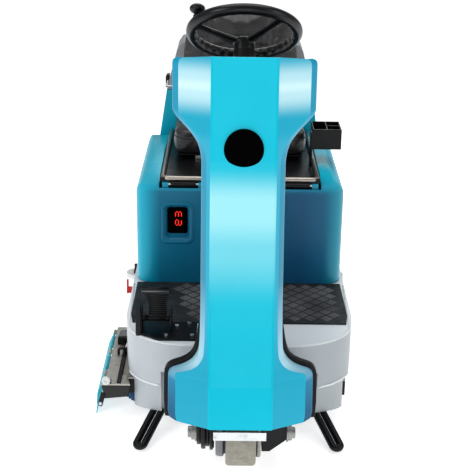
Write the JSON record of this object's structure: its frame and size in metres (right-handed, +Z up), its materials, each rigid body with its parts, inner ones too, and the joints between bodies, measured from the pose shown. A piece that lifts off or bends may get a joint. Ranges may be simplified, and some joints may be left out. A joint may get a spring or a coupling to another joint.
{
  "type": "ride-on floor scrubber",
  "caption": "Battery ride-on floor scrubber: steered front drive wheel, disc-brush deck, curved rear squeegee, sprung pedal, seat on a tilting hood and a rear recovery tank.",
  "frame": {"origin": "on the floor, under the middle of the machine", "axes": "+Z up, -Y to the front of the machine, +X to the left hand of a seated driver"},
  "size_m": [0.8555, 1.575, 1.2756],
  "materials": {
    "cover_cyan": "bright cyan moulded plastic, glossy",
    "body_blue": "deep teal-blue rotomoulded plastic, semi-gloss",
    "shell_grey": "light grey moulded plastic, satin",
    "mat_rubber": "black rubber mat with a woven diamond tread",
    "frame_paint": "black powder coat",
    "black_plastic": "black moulded plastic",
    "wheel_plastic": "black polyurethane-foam steering wheel",
    "lamp_black": "dark smoked lamp lens",
    "display_red": "red LED display behind a dark window",
    "lid_grey": "dark grey moulded plastic",
    "battery_case": "black battery case",
    "steel": "bare steel",
    "motor_grey": "grey painted motor",
    "bolt_zinc": "bright zinc plated",
    "chain_steel": "oiled dark steel",
    "brass": "brass valve body",
    "valve_red": "red moulded lever",
    "cast_grey": "grey painted casting",
    "tyre_pu": "beige-grey solid polyurethane",
    "seat_leather": "black glossy artificial leather",
    "deck_steel": "stainless steel deck sheet",
    "brush_pad": "blue brush back with pale nylon bristles",
    "skirt_cyan": "cyan polyurethane skirt",
    "squeegee_black": "black squeegee body with rubber blades",
    "roller_white": "white nylon roller",
    "stop_red": "red push button",
    "horn_green": "green push button",
    "key_chrome": "chromed key and barrel"
  },
  "bodies": {
    "chassis": {"main_frame": "frame_paint", "column_frame": "frame_paint", "column_tube": "black_plastic", "front_cover": "cover_cyan", "column_back_cover": "black_plastic", "dash_panel": "black_plastic", "lamp_bezel": "black_plastic", "lamp_lens": "lamp_black", "chassis_shell": "shell_grey", "platform_mat": "mat_rubber", "body_shell": "body_blue", "display_pocket": "black_plastic", "display_module": "display_red", "recovery_tank": "body_blue", "battery_pack": "battery_case", "vacuum_motor": "motor_grey", "guard_loop_left": "frame_paint", "guard_loop_right": "frame_paint", "pedal_base": "frame_paint", "pedal_bolts": "bolt_zinc", "rear_axle": "steel", "steering_chain": "chain_steel", "hood_hinge_pin": "steel", "valve_body": "brass"},
    "drive_unit": {"drive_fork": "frame_paint", "drive_gearbox": "frame_paint", "fork_front_plate": "bolt_zinc", "large_sprocket": "chain_steel"},
    "drive_wheel": {"drive_tyre": "tyre_pu", "drive_hub": "cast_grey"},
    "steering": {"steering_wheel": "wheel_plastic", "upper_steering_shaft": "steel"},
    "spinner_knob": {"steering_knob": "wheel_plastic"},
    "lower_shaft": {"lower_steering_shaft": "steel", "small_sprocket": "chain_steel"},
    "rear_wheel_l": {"rear_wheel_left": "tyre_pu"},
    "rear_wheel_r": {"rear_wheel_right": "tyre_pu"},
    "hood": {"seat_hood": "black_plastic", "seat_rails": "steel", "cup_holder": "black_plastic"},
    "seat": {"seat_pan": "frame_paint", "seat_cushion": "seat_leather", "seat_back_cushion": "seat_leather"},
    "lid": {"recovery_lid": "lid_grey"},
    "pedal": {"accelerator_pedal": "black_plastic"},
    "stop_button": {"emergency_stop": "stop_red"},
    "key": {"key_switch": "key_chrome"},
    "horn": {"horn_button": "horn_green"},
    "valve": {"valve_lever": "valve_red"},
    "deck_lift": {"deck_arms": "frame_paint"},
    "deck": {"deck_plate": "deck_steel", "deck_skirt": "black_plastic", "brush_motors": "frame_paint"},
    "brush_l": {"brush_left": "brush_pad"},
    "brush_r": {"brush_right": "brush_pad"},
    "skirt": {"side_skirt": "skirt_cyan"},
    "squeegee_lift": {"squeegee_arm": "frame_paint"},
    "squeegee_head": {"squeegee": "squeegee_black"},
    "roller_l": {"bumper_roller_left": "roller_white"},
    "roller_r": {"bumper_roller_right": "roller_white"}
  },
  "joints": [
    {"name": "drive_steer", "type": "hinge", "parent": "chassis", "child": "drive_unit", "pos_m": [0, -0.615, 0.28], "axis": [0, 0, 1], "range_deg": [-75, 75]},
    {"name": "drive_wheel_spin", "type": "hinge", "parent": "drive_unit", "child": "drive_wheel", "pos_m": [0, -0.615, 0.125], "axis": [1, 0, 0], "continuous": true},
    {"name": "steering_wheel_turn", "type": "hinge", "parent": "chassis", "child": "steering", "pos_m": [0, -0.34, 1.178], "axis": [0, 0.5736, 0.8192], "range_deg": [-226, 226]},
    {"name": "knob_spin", "type": "hinge", "parent": "steering", "child": "spinner_knob", "pos_m": [-0.11031, -0.39861, 1.25567], "axis": [0, 0.5736, 0.8192], "continuous": true},
    {"name": "lower_shaft_turn", "type": "hinge", "parent": "chassis", "child": "lower_shaft", "pos_m": [0, -0.48339, 0.6], "axis": [0, 0, 1], "range_deg": [-226, 226]},
    {"name": "rear_wheel_left_spin", "type": "hinge", "parent": "chassis", "child": "rear_wheel_l", "pos_m": [-0.2625, 0.33, 0.125], "axis": [1, 0, 0], "continuous": true},
    {"name": "rear_wheel_right_spin", "type": "hinge", "parent": "chassis", "child": "rear_wheel_r", "pos_m": [0.2625, 0.33, 0.125], "axis": [1, 0, 0], "continuous": true},
    {"name": "hood_open", "type": "hinge", "parent": "chassis", "child": "hood", "pos_m": [0, -0.024, 0.634], "axis": [1, 0, 0], "range_deg": [0, 50]},
    {"name": "seat_slide", "type": "slide", "parent": "hood", "child": "seat", "axis": [0, -1, 0], "range_m": [0, 0.08]},
    {"name": "lid_open", "type": "hinge", "parent": "chassis", "child": "lid", "pos_m": [0, 0.783, 0.802], "axis": [-1, 0, 0], "range_deg": [0, 80]},
    {"name": "pedal_press", "type": "hinge", "parent": "chassis", "child": "pedal", "pos_m": [-0.246, -0.392, 0.34], "axis": [1, 0, 0], "range_deg": [0, 18], "stiffness_Nm_per_rad": 2, "springref_deg": -6.88},
    {"name": "stop_press", "type": "slide", "parent": "chassis", "child": "stop_button", "axis": [0, -0.5736, -0.8192], "range_m": [0, 0.005], "stiffness_N_per_m": 600, "springref_m": -0.002},
    {"name": "key_turn", "type": "hinge", "parent": "chassis", "child": "key", "pos_m": [-0.1, -0.48952, 1.06906], "axis": [0, 0.5736, 0.8192], "range_deg": [-90, 0]},
    {"name": "horn_press", "type": "slide", "parent": "chassis", "child": "horn", "axis": [0, -0.5736, -0.8192], "range_m": [0, 0.004], "stiffness_N_per_m": 400, "springref_m": -0.002},
    {"name": "valve_turn", "type": "hinge", "parent": "chassis", "child": "valve", "pos_m": [-0.355, -0.009, 0.262], "axis": [1, 0, 0], "range_deg": [-90, 0]},
    {"name": "deck_lift_turn", "type": "hinge", "parent": "chassis", "child": "deck_lift", "pos_m": [0, 0.09, 0.208], "axis": [-1, 0, 0], "range_deg": [0, 14]},
    {"name": "deck_level", "type": "hinge", "parent": "deck_lift", "child": "deck", "pos_m": [0, -0.06, 0.15], "axis": [-1, 0, 0], "range_deg": [-14.5, 0.5]},
    {"name": "brush_left_spin", "type": "hinge", "parent": "deck", "child": "brush_l", "pos_m": [-0.213, -0.184, 0.1], "axis": [0, 0, 1], "continuous": true},
    {"name": "brush_right_spin", "type": "hinge", "parent": "deck", "child": "brush_r", "pos_m": [0.14, -0.184, 0.1], "axis": [0, 0, 1], "continuous": true},
    {"name": "side_skirt_float", "type": "hinge", "parent": "deck", "child": "skirt", "pos_m": [-0.408, -0.184, 0.121], "axis": [0, 1, 0], "range_deg": [0, 20]},
    {"name": "squeegee_lift_turn", "type": "hinge", "parent": "chassis", "child": "squeegee_lift", "pos_m": [0, 0.45, 0.205], "axis": [1, 0, 0], "range_deg": [0, 12]},
    {"name": "squeegee_swing", "type": "hinge", "parent": "squeegee_lift", "child": "squeegee_head", "pos_m": [-0.0065, 0.64, 0.1], "axis": [0, 0, 1], "range_deg": [-12, 12]},
    {"name": "roller_left_spin", "type": "hinge", "parent": "squeegee_head", "child": "roller_l", "pos_m": [-0.3945, 0.64, 0.05], "axis": [0, 0, 1], "continuous": true},
    {"name": "roller_right_spin", "type": "hinge", "parent": "squeegee_head", "child": "roller_r", "pos_m": [0.3815, 0.64, 0.05], "axis": [0, 0, 1], "continuous": true}
  ],
  "couplings": [
    {"joint": "steering_wheel_turn", "follows": "drive_steer", "ratio": 3},
    {"joint": "lower_shaft_turn", "follows": "drive_steer", "ratio": 3},
    {"joint": "deck_level", "follows": "deck_lift_turn", "ratio": -1}
  ]
}
